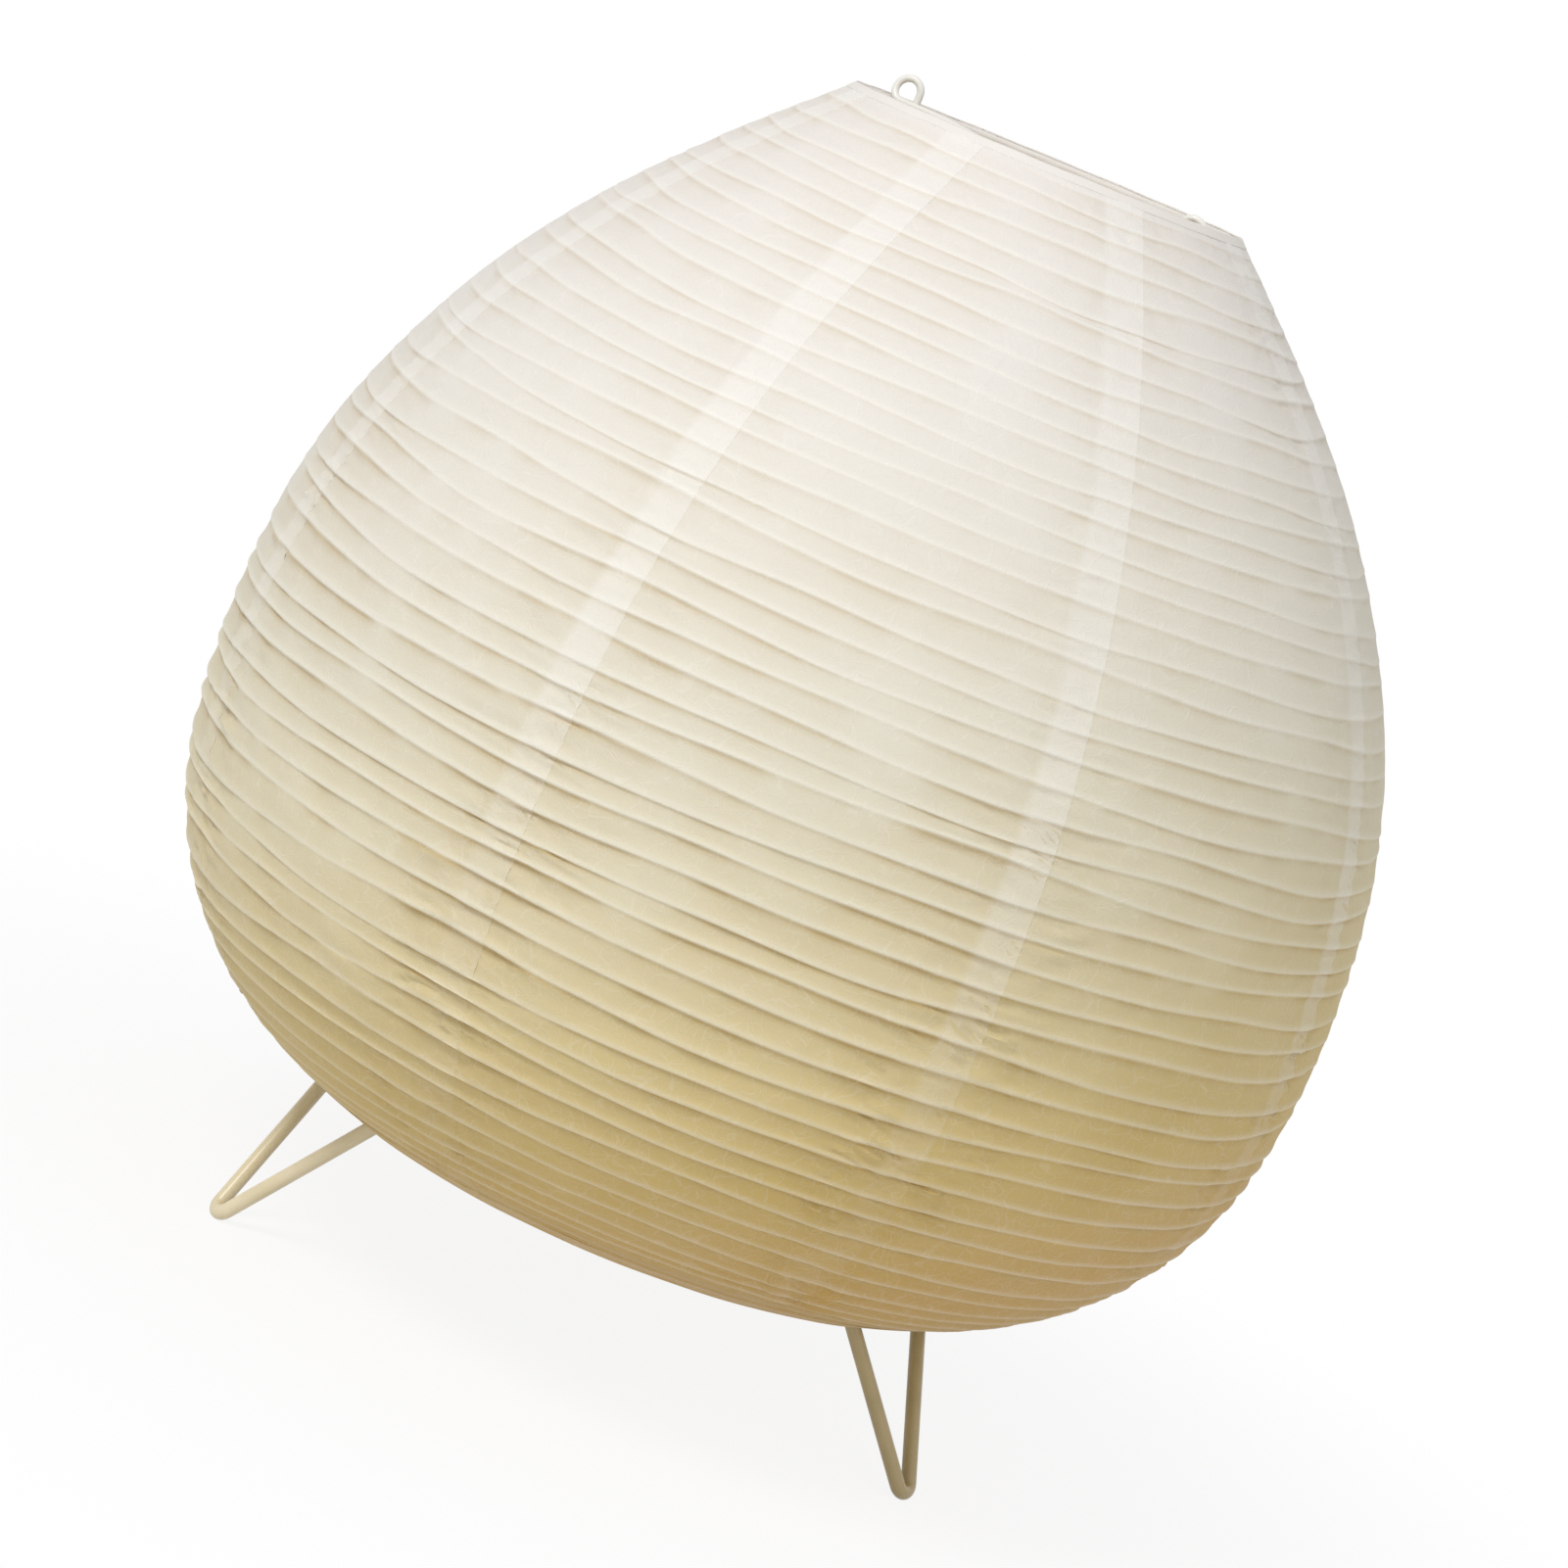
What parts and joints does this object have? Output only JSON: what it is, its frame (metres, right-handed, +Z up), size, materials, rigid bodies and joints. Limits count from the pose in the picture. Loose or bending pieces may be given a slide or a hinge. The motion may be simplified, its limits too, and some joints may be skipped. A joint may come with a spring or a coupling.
{
  "type": "paper lantern floor lamp",
  "caption": "Floor lamp with an egg-shaped ribbed paper shade stretched over a white wire frame on bent wire feet.",
  "frame": {"origin": "on the floor, on the lamp's upright axis, midway between the three feet", "axes": "+Z up, front towards -Y with a foot each side of it, third foot at +Y"},
  "size_m": [0.4999, 0.4999, 0.542],
  "materials": {
    "shade_paper": "matte, translucent, fibrous",
    "bamboo": "satin",
    "hem_tape": "matte",
    "hoop_wire": "satin",
    "frame_paint": "satin, off-white powder coat",
    "zinc_plate": "satin",
    "gland_nylon": "matte",
    "holder_case": "satin",
    "block_ceramic": "matte",
    "brass": "satin",
    "nickel": "satin",
    "solder": "satin",
    "cap_glass": "gloss",
    "bulb_metal": "satin",
    "bulb_clear_glass": "clear",
    "stem_glass": "clear",
    "filament": "matte"
  },
  "bodies": {
    "frame": {"paper_panel_1": "shade_paper", "paper_panel_2": "shade_paper", "paper_panel_3": "shade_paper", "paper_panel_4": "shade_paper", "paper_panel_5": "shade_paper", "paper_panel_6": "shade_paper", "paper_panel_7": "shade_paper", "paper_panel_8": "shade_paper", "bamboo_rib": "bamboo", "bottom_hem": "hem_tape", "bottom_hoop": "hoop_wire", "base_ring": "frame_paint", "front_right_leg": "frame_paint", "front_left_leg": "frame_paint", "rear_leg": "frame_paint", "base_strap": "frame_paint", "stretcher": "frame_paint", "right_socket": "frame_paint", "left_socket": "frame_paint", "threaded_nipple": "zinc_plate", "lock_nut": "zinc_plate", "cord_gland": "gland_nylon", "holder_cap": "holder_case", "holder_body": "holder_case", "terminal_block": "block_ceramic", "terminal_screws": "brass", "screw_shell": "nickel", "centre_contact": "brass"},
    "top_rim": {"top_hoop": "hoop_wire", "top_hem": "hem_tape"},
    "bulb": {"bulb_button": "solder", "bulb_insulator": "cap_glass", "bulb_cap": "bulb_metal", "bulb_glass": "bulb_clear_glass", "bulb_stem": "stem_glass", "bulb_filaments": "filament"}
  },
  "joints": [
    {"name": "shade_collapse", "type": "slide", "parent": "frame", "child": "top_rim", "axis": [0, 0, -1], "range_m": [0, 0.36], "deforming": ["paper_panel_1", "paper_panel_2", "paper_panel_3", "paper_panel_4", "paper_panel_5", "paper_panel_6", "paper_panel_7", "paper_panel_8", "bamboo_rib"]},
    {"name": "bulb_turn", "type": "hinge", "parent": "frame", "child": "bulb", "pos_m": [0, 0, 0.1], "axis": [0, 0, 1], "range_deg": [0, 1080]}
  ]
}
